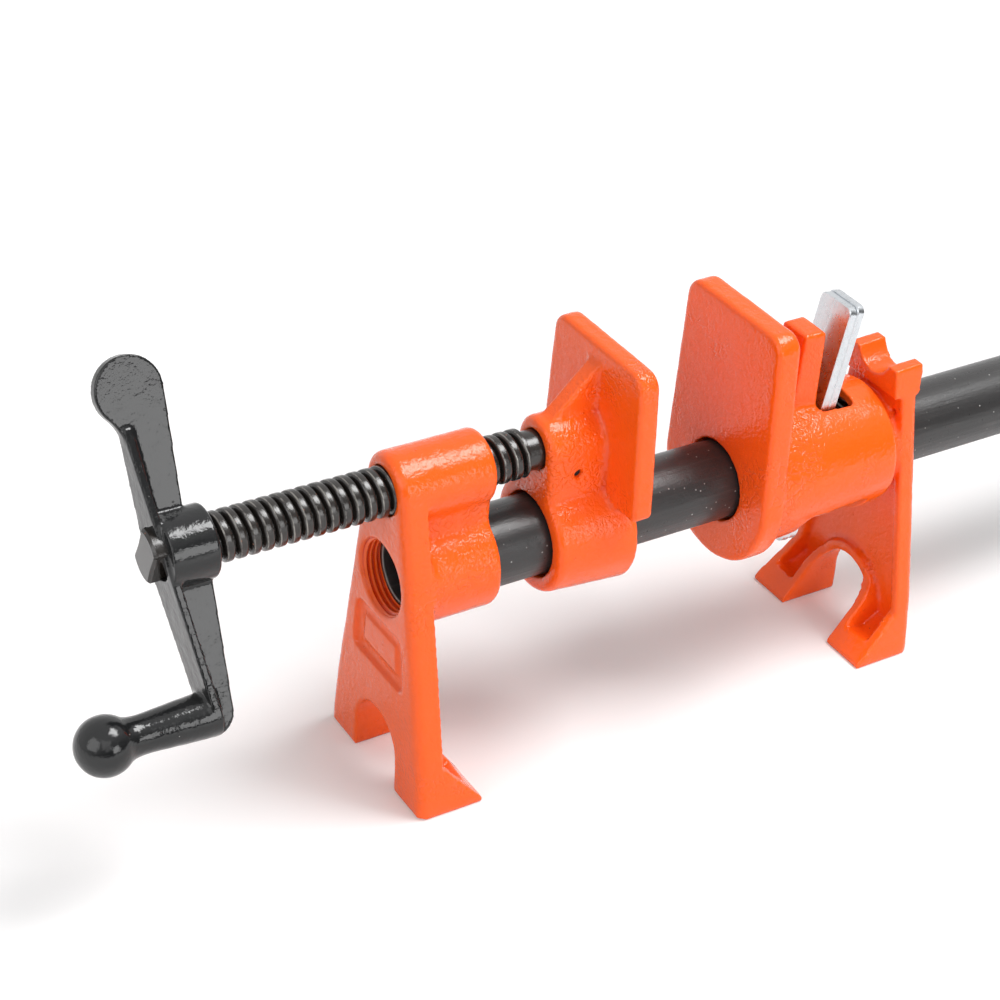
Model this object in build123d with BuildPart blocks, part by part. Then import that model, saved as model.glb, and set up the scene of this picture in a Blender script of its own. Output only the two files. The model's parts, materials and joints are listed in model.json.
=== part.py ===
from build123d import *
from math import acos, atan2, cos, degrees, hypot, radians, sin, sqrt, tan
import os

# Woodworking pipe clamp: a head casting screwed on the end of a 3/4 in iron pipe, a sliding jaw
# driven by a crank screw, and a tail stop that locks on the pipe with two tilting plates.
# Frame: +X runs along the pipe from the crank to the free end, +Y away, +Z up, feet on Z = 0.

# ---- Pipe -------------------------------------------------------------------------------------
PIPE_D = 26.67                      # outside diameter of 3/4 in pipe
PIPE_WALL = 2.87                    # schedule 40 wall
PIPE_LENGTH = 610.0                 # a ready-cut 24 in length
PIPE_Z = 75.4                       # height of the pipe's axis above the floor
PIPE_CHAMFER = 0.8

# ---- Screw ------------------------------------------------------------------------------------
SCREW_D = 15.875                    # 5/8 in screw, over the crests
SCREW_RISE = 32.0                   # screw axis above the pipe axis
NECK_D = 12.8                       # plain neck that turns in the jaw
NECK_LENGTH = 22.4
NECK_END_GAP = 3.0                  # solid jaw plate and air behind the end of the neck
NECK_CHAMFER = 1.0
GROOVE_DEPTH = 1.7                  # groove in the neck for the retaining pin
TANG_FLATS = 9.3                    # across the two flats of the screw's end, in the crank
TANG_PROUD = 2.9                    # how far that end stands out of the crank
TANG_CHAMFER = 1.9
THREADED_LENGTH = 106.2

# ---- Crank ------------------------------------------------------------------------------------
CRANK_ANGLE = 25.0                  # turn of the crank about the screw, from upright
HUB_D = 22.8
HUB_LENGTH = 16.5
HUB_ROUND = 1.0
HUB_SET_BACK = 1.6                  # front of the hub, behind the front of the flanges
ARM_WEB = 3.8                       # thickness of the web of both arms
ARM_FLANGE = 2.6
FLANGE_WIDTH_HUB = 16.0
FLANGE_WIDTH_TOP = 5.0
FLANGE_WIDTH_FOOT = 13.8
UPPER_ROOT = 5.6                    # rear edges of the arms' webs, in front of the hub's back
LOWER_ROOT = 1.0
LOWER_WEB_FOOT = 2.8
ARM_HEEL_R = 7.0
PADDLE_R = 10.4
PADDLE_REACH = 47.5                 # screw axis to the middle of the paddle
PADDLE_BACK = 2.2                   # paddle's middle, behind the front of the hub
PADDLE_BLEND = 14.0
UPPER_LEAN = 2.4                    # how far the upper arm leans forward
LOWER_LEAN = 6.0                    # how far the lower arm leans back
THROW = 50.0                        # screw axis to grip axis
GRIP_LENGTH = 41.0                  # from the lower arm's front to the end of the ball
BALL_R = 9.2
GRIP_WAIST_R = 6.1
GRIP_ROOT_R = 7.0
GRIP_WAIST_REACH = 17.0             # lower arm's front to the grip's waist
GRIP_ROOT_REACH = 2.0
GRIP_LEAVE = 52.0                   # where the waist leaves the ball, from the grip's axis
GRIP_FLARE = 0.05                   # slope of the grip at its root

# ---- Stands (the legs of the head and of the tail stop) ---------------------------------------
KNEE_HALF = 28.2                    # half width where the flank turns down
KNEE_Z = 22.0
FOOT_HALF = 30.6
FOOT_Z = 3.0
FOOT_LENGTH = 23.0                  # toe to heel
TOE_TIP = 1.6                       # thickness of the toe's tip
TOE_Z = 21.0                        # where the toe's inner rim meets the upright
TOE_OUTER_Z = 15.5                  # the outer rim comes in lower
STAND_WEB = 4.6
STAND_FLANGE = 3.6
ARCH_R = 12.7
ARCH_Z = 12.0
STAND_ROUND = 3.4                   # rounding of the long outer edges
SPOON_SIDE_R = 2.6                  # roundings inside the toe's pocket
SPOON_FLOOR_R = 4.0
SPOON_HIGH_Z = 10.0                 # pocket's floor at the web
SPOON_LOW_Z = 6.0                   # and at its lowest
SPOON_LOW_X = 11.5
SPOON_RIM = 4.6                     # solid rim at the tip of the toe

# ---- Head -------------------------------------------------------------------------------------
HEAD_LENGTH = 33.8
HEAD_STAND_DEPTH = 9.0              # depth of the stand's channel section
HEAD_SCREW_BOSS_R = 12.0
HEAD_PIPE_BOSS_R = 17.6
HEAD_NECK_HALF = 8.5                # half width between the two barrels
HEAD_VALLEY_R = 3.5
HEAD_RIM_R = 1.7
PIPE_SET_BACK = 6.8                 # end of the pipe, behind the front face
THREAD_MOUTH_R = 12.6               # threaded hole in front of the pipe
MOUTH_CHAMFER = 0.6
BORE_CHAMFER = 0.3
PANEL_BOTTOM_HALF = 16.0
PANEL_TOP_HALF = 14.0
PANEL_LOW_Z = 40.5
PANEL_HIGH_Z = 59.5
PANEL_DEPTH = 1.8
PANEL_R = 3.0
TABLET_MARGIN = 4.6                 # bare raised tablet inside the recessed panel
TABLET_RISE = 1.0

# ---- Sliding jaw ------------------------------------------------------------------------------
JAW_START = 53.2                    # front of the jaw, behind the head's front face
JAW_LENGTH = 28.3
JAW_BORE_PLAY = 0.85                # the jaw rides loose on the pipe
JAW_RING_R = 19.4
JAW_RING_BACK_R = 21.3
JAW_BOSS_R = 10.6
JAW_PLATE = 7.6
JAW_TOP_HALF = 24.6
JAW_LOW_HALF = 27.6
JAW_TOP_Z = 139.5
JAW_LOW_Z = 88.8
JAW_CORNER_R = 6.0
JAW_LOW_CORNER_R = 2.5
JAW_EDGE_R = 1.8
JAW_RIM_R = 2.8
GUSSET_HALF = 3.2
GUSSET_TOP_Z = 134.5
GUSSET_START = 3.8                  # front end of the gusset, behind the front of the jaw
PIN_D = 3.0
PIN_FROM_FRONT = 10.7
PIN_CHAMFER = 0.3
PIN_RECESS = 1.6

# ---- Tail stop --------------------------------------------------------------------------------
TAIL_START = 125.2                  # face of the tail jaw, behind the head's front face
TAIL_PLATE = 9.0
TAIL_TOP_HALF = 25.1
TAIL_TOP_Z = 140.0
TAIL_ROUND_R = 28.3                 # lower, half-round end of the tail jaw
TAIL_EDGE_R = 1.8
TAIL_RIM_R = 1.6
TAIL_STAND_DEPTH = 7.6
TAIL_CORNER_R = 6.5
TAIL_BARREL_R = 25.6
TAIL_BARREL_BACK_R = 22.4
TAIL_BARREL_LENGTH = 51.0
TAIL_HUB_LENGTH = 12.3              # back of the barrel to the back of the stand
TAIL_BORE_PLAY = 0.75
TAIL_HUB_R = 17.5
CAVITY_R = 19.6                     # room for the plates inside the barrel
CAVITY_FRONT = 14.6                 # solid behind the tail jaw before the cavity
CAVITY_BACK_WALL = 3.2
WINDOW_DROP = 10.2                  # open window under the cavity: its top, below the pipe's axis
WINDOW_BACK_WALL = 8.5              # barrel left behind the window
WINDOW_CORNER_R = 3.0
POST_START = 17.0                   # front of the thumb post, behind the plate's back face
POST_LENGTH = 8.5
POST_HALF = 6.4
POST_TOP_Z = 126.2
POST_EDGE_R = 1.4
POST_SPREAD = 1.8                   # the post is this much deeper at its foot
SADDLE_R = 8.0
SADDLE_BOTTOM_Z = 101.5
SADDLE_LENGTH = 10.4                # block under the saddle, along the pipe
SADDLE_LOW_Z = 97.0
TAIL_CHANNEL_Z = 91.0               # top of the tail stand's channel, hidden by the barrel
HORN_TOP_Z = 107.6
HORN_DROP = 0.6                     # fall of the horns' tops towards the jaw
HORN_LIP = 1.3                      # how far the horns lean out behind

# ---- Clutch plates and spring -----------------------------------------------------------------
CLUTCH_T = 3.0
CLUTCH_GAP = 0.06                   # between the two plates
CLUTCH_TILT = 10.5                  # lean of the locked plates
CLUTCH_HOLE_D = 28.2
CLUTCH_BODY_R = 18.2
CLUTCH_TAB_HALF = 8.0
CLUTCH_UP = 58.4                    # middle of the hole to the upper end
CLUTCH_DOWN = 29.8                  # middle of the hole to the lower end
CLUTCH_CORNER_R = 2.8
CLUTCH_PLAY = 0.3                   # plate to the slot's front edge
CLUTCH_SLOT_SIDE = 0.7
CLUTCH_SLOT_LENGTH = 14.2
CLUTCH_SLOT_R = 1.5
CLUTCH_EDGE = 0.35                  # bevel of the stamped edges
SPRING_WIRE = 1.6
SPRING_SIDES = 8                    # flats that stand for the round wire
SPRING_TURNS = 4
SPRING_CLEAR = 1.6                  # inside of the spring to the pipe

# ---- Clearances -------------------------------------------------------------------------------
RUNNING_FIT = 0.08                  # radial, screw in its bores
SEAT_FIT = 0.02                     # radial, pieces that are fixed together
PIN_PLAY = 0.15                     # radial, retaining pin in the neck's groove
OVERCUT = 1.0                       # how far cutting and joining shapes run past a surface
SAME = 0.01                         # sizes closer than this are one size

# ---- Worked-out places ------------------------------------------------------------------------
PIPE_R = PIPE_D / 2
SCREW_R = SCREW_D / 2
SCREW_Z = PIPE_Z + SCREW_RISE
JAW_BACK = JAW_START + JAW_LENGTH
NECK_END = JAW_BACK - JAW_PLATE - NECK_END_GAP
NECK_START = NECK_END - NECK_LENGTH
HUB_BACK = NECK_START - THREADED_LENGTH
CROWN_ARC = degrees(
    atan2(KNEE_HALF, SCREW_Z - KNEE_Z) + acos(HEAD_SCREW_BOSS_R / hypot(KNEE_HALF, SCREW_Z - KNEE_Z))
) - 90                              # where a stand's flank leaves the round top
CROWN_Y = HEAD_SCREW_BOSS_R * cos(radians(CROWN_ARC))
CROWN_Z = SCREW_Z + HEAD_SCREW_BOSS_R * sin(radians(CROWN_ARC))
HUB_FRONT = HUB_BACK - HUB_LENGTH
ARM_FOOT_X = HUB_FRONT + LOWER_LEAN
GRIP_END = ARM_FOOT_X - GRIP_LENGTH
HEAD_X = -(PIPE_SET_BACK + PIPE_LENGTH + GRIP_END) / 2     # centres the clamp on X = 0
TAIL_LENGTH = TAIL_PLATE + TAIL_BARREL_LENGTH + TAIL_HUB_LENGTH
TAIL_X = HEAD_X + TAIL_START
TAIL_BACK_X = TAIL_X + TAIL_LENGTH
BARREL_X = TAIL_X + TAIL_PLATE
BARREL_BACK_X = BARREL_X + TAIL_BARREL_LENGTH
POST_BACK_X = BARREL_X + POST_START + POST_LENGTH
CAVITY_X = BARREL_X + CAVITY_FRONT
CAVITY_BACK_X = BARREL_BACK_X - CAVITY_BACK_WALL
WINDOW_BACK_X = BARREL_BACK_X - WINDOW_BACK_WALL
TILT = radians(CLUTCH_TILT)
TURN = radians(CRANK_ANGLE)
RADIAL = Vector(0, sin(TURN), cos(TURN))
SIDE = Vector(0, -cos(TURN), sin(TURN))

os.makedirs("parts", exist_ok=True)


def along_x(x, z):
    """A sketch plane square to the pipe, at height z, with Y to the right and Z up."""
    return Plane(origin=(x, 0, z), x_dir=(0, 1, 0), z_dir=(1, 0, 0))


def stand_face(crowned, inset=0):
    """The A-shaped outline of a stand, seen along the pipe; a crown runs round the screw."""
    with BuildSketch(Plane.YZ) as face:
        with BuildLine():
            if crowned:
                CenterArc((0, SCREW_Z), HEAD_SCREW_BOSS_R, 90, CROWN_ARC - 90)
                Line((0, ARCH_Z + ARCH_R), (0, SCREW_Z + HEAD_SCREW_BOSS_R))
            else:
                Polyline((0, ARCH_Z + ARCH_R), (0, CROWN_Z), (CROWN_Y, CROWN_Z))
            Polyline(
                (CROWN_Y, CROWN_Z),
                (KNEE_HALF, KNEE_Z),
                (FOOT_HALF, FOOT_Z),
                (FOOT_HALF, 0),
                (ARCH_R, 0),
                (ARCH_R, ARCH_Z),
            )
            CenterArc((0, ARCH_Z), ARCH_R, 0, 90)
        make_face()
        mirror(about=Plane.YZ)
        if inset:
            offset(amount=-inset, kind=Kind.INTERSECTION, mode=Mode.REPLACE)
    return face.sketch


def stand_side(depth):
    """The outline of a stand seen from the side: a thin upright on a long sloping toe."""
    with BuildSketch(Plane.XZ) as side:
        with BuildLine():
            Polyline(
                (0, 0),
                (FOOT_LENGTH, 0),
                (FOOT_LENGTH, TOE_TIP),
                (depth, TOE_Z),
                (depth, CROWN_Z + HEAD_SCREW_BOSS_R),
                (0, CROWN_Z + HEAD_SCREW_BOSS_R),
                close=True,
            )
        make_face()
    return side.sketch


def channel_side(depth, top_z):
    """What the channel and the toe's pocket take out, seen from the side."""
    slope = (TOE_Z - TOE_TIP) / (FOOT_LENGTH - depth)
    with BuildSketch(Plane.XZ) as side:
        with BuildLine():
            Polyline(
                (STAND_WEB, top_z),
                (STAND_WEB, SPOON_HIGH_Z),
                (SPOON_LOW_X, SPOON_LOW_Z),
                (FOOT_LENGTH - SPOON_RIM, TOE_TIP + slope * SPOON_RIM),
                (FOOT_LENGTH, TOE_TIP + 2 * slope * SPOON_RIM),
                (FOOT_LENGTH, top_z),
                close=True,
            )
        make_face()
        fillet(side.vertices().filter_by_position(Axis.X, SPOON_LOW_X, SPOON_LOW_X), SPOON_FLOOR_R)
    return side.sketch


def toe_scarf(depth):
    """The twisted wedges that bring each toe's outer rim down below its inner one."""
    with BuildPart() as wedges:
        for reach, rim_z in ((ARCH_R + STAND_FLANGE, TOE_Z), (FOOT_HALF + OVERCUT, TOE_OUTER_Z)):
            with BuildSketch(Plane.XZ.offset(reach)):
                with BuildLine():
                    Polyline(
                        (depth, rim_z),
                        (FOOT_LENGTH, TOE_TIP),
                        (FOOT_LENGTH, 2 * TOE_Z),
                        (depth, 2 * TOE_Z),
                        close=True,
                    )
                make_face()
        loft()
        mirror(about=Plane.XZ)
    return wedges.part


def make_stand(depth, channel_top_z, crowned):
    """One stand, with its flat face on X = 0 and its toes towards +X."""
    face = stand_face(crowned)
    hollow = stand_face(False, STAND_FLANGE)
    side = stand_side(depth)
    hollow_side = channel_side(depth, channel_top_z)
    wedges = toe_scarf(depth)
    with BuildPart() as channel:
        extrude(hollow, amount=FOOT_LENGTH)
        fillet(channel.edges().filter_by(Axis.X), SPOON_SIDE_R)
        extrude(hollow_side, amount=FOOT_HALF, both=True, mode=Mode.INTERSECT)
    with BuildPart() as stand:
        extrude(face, amount=FOOT_LENGTH)
        extrude(side, amount=FOOT_HALF, both=True, mode=Mode.INTERSECT)
        flat_face = stand.faces().sort_by(Axis.X)[0]
        outline = flat_face.edges().filter_by(
            lambda edge: edge.center().Z > SAME
            and (abs(edge.center().Y) > ARCH_R + SAME or edge.center().Z > SCREW_Z)
        )
        fillet(outline, STAND_ROUND)
        add(channel.part, mode=Mode.SUBTRACT)
        add(wedges, mode=Mode.SUBTRACT)
    return stand.part


# ---- Head casting -----------------------------------------------------------------------------
head_stand = make_stand(HEAD_STAND_DEPTH, SCREW_Z, True)

with BuildPart() as clamp_head:
    with Locations((HEAD_X, 0, 0)):
        add(head_stand)
    # the two barrels, with the valley between them
    with BuildSketch(along_x(HEAD_X + STAND_WEB, PIPE_Z)) as barrels:
        Circle(HEAD_PIPE_BOSS_R)
        with Locations((0, SCREW_RISE)):
            Circle(HEAD_SCREW_BOSS_R)
        with Locations((0, SCREW_RISE / 2)):
            Rectangle(2 * HEAD_NECK_HALF, SCREW_RISE)
        fillet(barrels.vertices(), HEAD_VALLEY_R)
    extrude(amount=HEAD_LENGTH - STAND_WEB)
    barrel_ends = clamp_head.faces().sort_by(Axis.X)[-1]
    fillet(barrel_ends.edges(), HEAD_RIM_R)
    # bore for the screw and tapped bore for the pipe
    with BuildSketch(along_x(HEAD_X, SCREW_Z)):
        Circle(SCREW_R + RUNNING_FIT)
    extrude(amount=HEAD_LENGTH, mode=Mode.SUBTRACT)
    with BuildSketch(along_x(HEAD_X, PIPE_Z)):
        Circle(THREAD_MOUTH_R)
    extrude(amount=PIPE_SET_BACK, mode=Mode.SUBTRACT)
    with BuildSketch(along_x(HEAD_X + PIPE_SET_BACK, PIPE_Z)):
        Circle(PIPE_R + SEAT_FIT)
    extrude(amount=HEAD_LENGTH, mode=Mode.SUBTRACT)
    mouths = clamp_head.faces().sort_by(Axis.X)[0].edges().filter_by(GeomType.CIRCLE)
    chamfer(mouths.filter_by(lambda edge: abs(edge.radius - SCREW_R - RUNNING_FIT) < SAME), BORE_CHAMFER)
    chamfer(mouths.filter_by(lambda edge: abs(edge.radius - THREAD_MOUTH_R) < SAME), MOUTH_CHAMFER)
    # recessed panel under the hole, with a bare raised tablet in it
    with BuildSketch(along_x(HEAD_X, 0)) as panel:
        with BuildLine():
            Polyline(
                (-PANEL_BOTTOM_HALF, PANEL_LOW_Z),
                (PANEL_BOTTOM_HALF, PANEL_LOW_Z),
                (PANEL_TOP_HALF, PANEL_HIGH_Z),
                (-PANEL_TOP_HALF, PANEL_HIGH_Z),
                close=True,
            )
        make_face()
        fillet(panel.vertices(), PANEL_R)
    extrude(amount=PANEL_DEPTH, mode=Mode.SUBTRACT)
    with BuildSketch(along_x(HEAD_X + PANEL_DEPTH, 0)) as tablet:
        add(panel.sketch_local)
        offset(amount=-TABLET_MARGIN, mode=Mode.REPLACE)
    extrude(amount=-TABLET_RISE)
clamp_head.part.label = "clamp_head"
export_step(clamp_head.part, "parts/clamp_head.step")

# ---- Pipe -------------------------------------------------------------------------------------
with BuildPart() as pipe:
    with BuildSketch(along_x(HEAD_X + PIPE_SET_BACK, PIPE_Z)):
        Circle(PIPE_R)
        Circle(PIPE_R - PIPE_WALL, mode=Mode.SUBTRACT)
    extrude(amount=PIPE_LENGTH)
    rims = pipe.edges().filter_by(GeomType.CIRCLE)
    chamfer(rims.filter_by(lambda edge: edge.radius > PIPE_R - SAME), PIPE_CHAMFER)
pipe.part.label = "pipe"
export_step(pipe.part, "parts/pipe.step")

# ---- Main screw -------------------------------------------------------------------------------
GROOVE_R = NECK_D / 2 - GROOVE_DEPTH
PIN_X = JAW_START + PIN_FROM_FRONT
PIN_Z = SCREW_Z - GROOVE_R - PIN_PLAY - PIN_D / 2
GROOVE_HALF = PIN_D / 2 + PIN_PLAY
TANG_END = HUB_FRONT - TANG_PROUD

with BuildPart() as main_screw:
    with BuildSketch(Plane(origin=(HEAD_X, 0, SCREW_Z), x_dir=(1, 0, 0), z_dir=(0, -1, 0))):
        with BuildLine():
            Polyline(
                (TANG_END, 0),
                (TANG_END, SCREW_R - TANG_CHAMFER),
                (TANG_END + TANG_CHAMFER, SCREW_R),
                (NECK_START - NECK_CHAMFER, SCREW_R),
                (NECK_START, NECK_D / 2),
                (PIN_X - GROOVE_HALF, NECK_D / 2),
                (PIN_X - GROOVE_HALF, GROOVE_R),
                (PIN_X + GROOVE_HALF, GROOVE_R),
                (PIN_X + GROOVE_HALF, NECK_D / 2),
                (NECK_END - NECK_CHAMFER, NECK_D / 2),
                (NECK_END, NECK_D / 2 - NECK_CHAMFER),
                (NECK_END, 0),
                close=True,
            )
        make_face()
    revolve(axis=Axis((HEAD_X, 0, SCREW_Z), (1, 0, 0)))
    # two flats that key the end into the crank
    with BuildSketch(Plane(origin=(HEAD_X + HUB_BACK, 0, SCREW_Z), x_dir=SIDE, z_dir=(-1, 0, 0))):
        Circle(SCREW_R + OVERCUT)
        Rectangle(TANG_FLATS, 2 * SCREW_D, mode=Mode.SUBTRACT)
    extrude(amount=HUB_LENGTH + TANG_PROUD, mode=Mode.SUBTRACT)
main_screw.part.label = "main_screw"
export_step(main_screw.part, "parts/main_screw.step")

# ---- Crank ------------------------------------------------------------------------------------
CRANK_PLANE = Plane(origin=(HEAD_X, 0, SCREW_Z), x_dir=(1, 0, 0), z_dir=SIDE)
GRIP_AXIS = Axis((HEAD_X, -THROW * RADIAL.Y, SCREW_Z - THROW * RADIAL.Z), (1, 0, 0))
PADDLE_X = HUB_FRONT + PADDLE_BACK
UPPER_END = PADDLE_REACH - PADDLE_R


def flange_plane(lean, reach):
    """The front plane of an arm that moves by lean along X over the radial distance reach."""
    arm = Vector(lean, 0, 0) + RADIAL * reach
    front = CRANK_PLANE.from_local_coords(Vector(HUB_FRONT, 0, 0))
    return Plane(origin=front, x_dir=SIDE, z_dir=SIDE.cross(arm).normalized())


with BuildPart() as crank:
    # web of both arms, and the flat paddle
    with BuildSketch(CRANK_PLANE) as web:
        with BuildLine():
            Polyline(
                (HUB_FRONT, 0),
                (HUB_FRONT - UPPER_LEAN * PADDLE_REACH / UPPER_END, PADDLE_REACH),
                (PADDLE_X + PADDLE_R, PADDLE_REACH),
                (HUB_BACK - UPPER_ROOT, HUB_D / 2),
                (HUB_BACK - LOWER_ROOT, -HUB_D / 2),
                (HUB_BACK - LOWER_WEB_FOOT, -THROW - GRIP_ROOT_R),
                (ARM_FOOT_X, -THROW - GRIP_ROOT_R),
                (ARM_FOOT_X, -THROW),
                close=True,
            )
        make_face()
        heel = Vector(HUB_BACK - LOWER_WEB_FOOT, -THROW - GRIP_ROOT_R, 0)
        fillet(web.vertices().sort_by_distance(heel)[0], ARM_HEEL_R)
        with Locations((PADDLE_X, PADDLE_REACH)):
            Circle(PADDLE_R)
        under_paddle = Vector(PADDLE_X - PADDLE_R / 2, UPPER_END, 0)
        fillet(web.vertices().sort_by_distance(under_paddle)[0], PADDLE_BLEND)
    extrude(amount=ARM_WEB / 2, both=True)
    # flange along the front of the upper arm
    with BuildSketch(flange_plane(-UPPER_LEAN, UPPER_END)) as upper:
        with BuildLine():
            Polyline(
                (-FLANGE_WIDTH_HUB / 2, 0),
                (FLANGE_WIDTH_HUB / 2, 0),
                (FLANGE_WIDTH_TOP / 2, UPPER_END),
                (-FLANGE_WIDTH_TOP / 2, UPPER_END),
                close=True,
            )
        make_face()
    extrude(amount=-ARM_FLANGE)
    # flange along the front of the lower arm
    with BuildSketch(flange_plane(-LOWER_LEAN, THROW)) as lower:
        with BuildLine():
            Polyline(
                (-FLANGE_WIDTH_HUB / 2, 0),
                (-FLANGE_WIDTH_FOOT / 2, -THROW),
                (FLANGE_WIDTH_FOOT / 2, -THROW),
                (FLANGE_WIDTH_HUB / 2, 0),
                close=True,
            )
        make_face()
    extrude(amount=-ARM_FLANGE)
    # hub, behind the flanges
    hub_origin = (HEAD_X + HUB_FRONT + HUB_SET_BACK, 0, SCREW_Z)
    with BuildSketch(Plane(origin=hub_origin, x_dir=SIDE, z_dir=(1, 0, 0))):
        Circle(HUB_D / 2)
    extrude(amount=HUB_LENGTH - HUB_SET_BACK)
    hub_rim = crank.faces(Select.LAST).sort_by(Axis.X)[-1].edges()
    fillet(hub_rim, HUB_ROUND)
    # grip, turned to a ball at its end
    with BuildSketch(CRANK_PLANE):
        with BuildLine():
            leave = radians(GRIP_LEAVE)
            tip = Line((ARM_FOOT_X + ARM_FLANGE, -THROW), (GRIP_END, -THROW))
            ball = CenterArc((GRIP_END + BALL_R, -THROW), BALL_R, 180, GRIP_LEAVE - 180)
            neck_line = Spline(
                ball @ 1,
                (ARM_FOOT_X - GRIP_WAIST_REACH, GRIP_WAIST_R - THROW),
                (ARM_FOOT_X - GRIP_ROOT_REACH, GRIP_ROOT_R - THROW),
                tangents=[(sin(leave), -cos(leave)), (1, GRIP_FLARE)],
            )
            Polyline(neck_line @ 1, (ARM_FOOT_X + ARM_FLANGE, GRIP_ROOT_R - THROW), tip @ 0)
        make_face()
    revolve(axis=GRIP_AXIS)
    # keyed seat for the screw's end
    with BuildSketch(Plane(origin=(HEAD_X + HUB_BACK, 0, SCREW_Z), x_dir=SIDE, z_dir=(-1, 0, 0))):
        Circle(SCREW_R + SEAT_FIT)
        Rectangle(TANG_FLATS + 2 * SEAT_FIT, 2 * SCREW_D, mode=Mode.INTERSECT)
    extrude(amount=2 * HUB_LENGTH, mode=Mode.SUBTRACT)
crank.part.label = "crank"
export_step(crank.part, "parts/crank.step")

# ---- Sliding jaw ------------------------------------------------------------------------------
JAW_X = HEAD_X + JAW_START
JAW_BACK_X = HEAD_X + JAW_BACK
JAW_PLATE_X = JAW_BACK_X - JAW_PLATE

with BuildPart() as sliding_jaw:
    # flat jaw plate
    with BuildSketch(along_x(JAW_PLATE_X, 0)) as jaw_plate:
        with BuildLine():
            Polyline(
                (-JAW_LOW_HALF, JAW_LOW_Z),
                (JAW_LOW_HALF, JAW_LOW_Z),
                (JAW_TOP_HALF, JAW_TOP_Z),
                (-JAW_TOP_HALF, JAW_TOP_Z),
                close=True,
            )
        make_face()
        fillet(jaw_plate.vertices().group_by(Axis.Y)[-1], JAW_CORNER_R)
        fillet(jaw_plate.vertices().group_by(Axis.Y)[0], JAW_LOW_CORNER_R)
    extrude(amount=JAW_PLATE)
    plate_outline = sliding_jaw.faces().filter_by(Axis.X).edges()
    fillet(plate_outline, JAW_EDGE_R)
    # ring round the pipe
    with BuildSketch(along_x(JAW_X, PIPE_Z)):
        Circle(JAW_RING_R)
    with BuildSketch(along_x(JAW_BACK_X, PIPE_Z)):
        Circle(JAW_RING_BACK_R)
    loft()
    # screw boss, joined to the ring by its straight sides
    with BuildSketch(along_x(JAW_X, SCREW_Z)):
        Circle(JAW_BOSS_R)
        with Locations((0, -SCREW_RISE / 2)):
            Rectangle(2 * JAW_BOSS_R, SCREW_RISE)
    extrude(amount=JAW_LENGTH - JAW_PLATE + JAW_EDGE_R)
    # gusset from the boss up the back of the plate
    with BuildSketch(Plane.XZ):
        with BuildLine():
            Polyline(
                (JAW_X + GUSSET_START, SCREW_Z),
                (JAW_X + GUSSET_START, SCREW_Z + JAW_BOSS_R),
                (JAW_PLATE_X, GUSSET_TOP_Z),
                (JAW_PLATE_X + OVERCUT, GUSSET_TOP_Z),
                (JAW_PLATE_X + OVERCUT, SCREW_Z),
                close=True,
            )
        make_face()
    extrude(amount=GUSSET_HALF, both=True)
    front_rim = sliding_jaw.faces().sort_by(Axis.X)[0].edges()
    fillet(front_rim, JAW_RIM_R)
    # bores for the pipe, the screw's neck and the pin
    with BuildSketch(along_x(JAW_X, PIPE_Z)):
        Circle(PIPE_R + JAW_BORE_PLAY)
    extrude(amount=JAW_LENGTH, mode=Mode.SUBTRACT)
    with BuildSketch(along_x(JAW_X, SCREW_Z)):
        Circle(NECK_D / 2 + RUNNING_FIT)
    extrude(amount=HEAD_X + NECK_END - JAW_X + RUNNING_FIT, mode=Mode.SUBTRACT)
    with BuildSketch(Plane(origin=(HEAD_X + PIN_X, 0, PIN_Z), x_dir=(1, 0, 0), z_dir=(0, -1, 0))):
        Circle(PIN_D / 2 + SEAT_FIT)
    extrude(amount=JAW_BOSS_R + OVERCUT, both=True, mode=Mode.SUBTRACT)
sliding_jaw.part.label = "sliding_jaw"
export_step(sliding_jaw.part, "parts/sliding_jaw.step")

# ---- Retaining pin ----------------------------------------------------------------------------
with BuildPart() as retaining_pin:
    with BuildSketch(Plane(origin=(HEAD_X + PIN_X, 0, PIN_Z), x_dir=(1, 0, 0), z_dir=(0, -1, 0))):
        Circle(PIN_D / 2)
    extrude(amount=JAW_BOSS_R - PIN_RECESS, both=True)
    chamfer(retaining_pin.edges().filter_by(GeomType.CIRCLE), PIN_CHAMFER)
retaining_pin.part.label = "retaining_pin"
export_step(retaining_pin.part, "parts/retaining_pin.step")

# ---- Tail stop --------------------------------------------------------------------------------
tail_stand = make_stand(TAIL_STAND_DEPTH, TAIL_CHANNEL_Z, False)
SLOT_HALF = CLUTCH_TAB_HALF + CLUTCH_SLOT_SIDE
FULCRUM_RISE = sqrt(CAVITY_R**2 - SLOT_HALF**2)            # inner edge of the slot's front wall
CLUTCH_X = POST_BACK_X + CLUTCH_PLAY - FULCRUM_RISE * tan(TILT)
tail_outline = stand_face(False)

with BuildPart() as saddle_block:
    # block with two horns at the top of the rear stand
    extrude(tail_outline, amount=TAIL_LENGTH, both=True)
    with BuildSketch(Plane.XZ):
        with BuildLine():
            Polyline(
                (0, SADDLE_LOW_Z),
                (HORN_LIP, (SADDLE_BOTTOM_Z + HORN_TOP_Z) / 2),
                (HORN_LIP, HORN_TOP_Z),
                (-SADDLE_LENGTH, HORN_TOP_Z - HORN_DROP),
                (-SADDLE_LENGTH, SADDLE_LOW_Z),
                close=True,
            )
        make_face()
    extrude(amount=FOOT_HALF, both=True, mode=Mode.INTERSECT)

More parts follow.
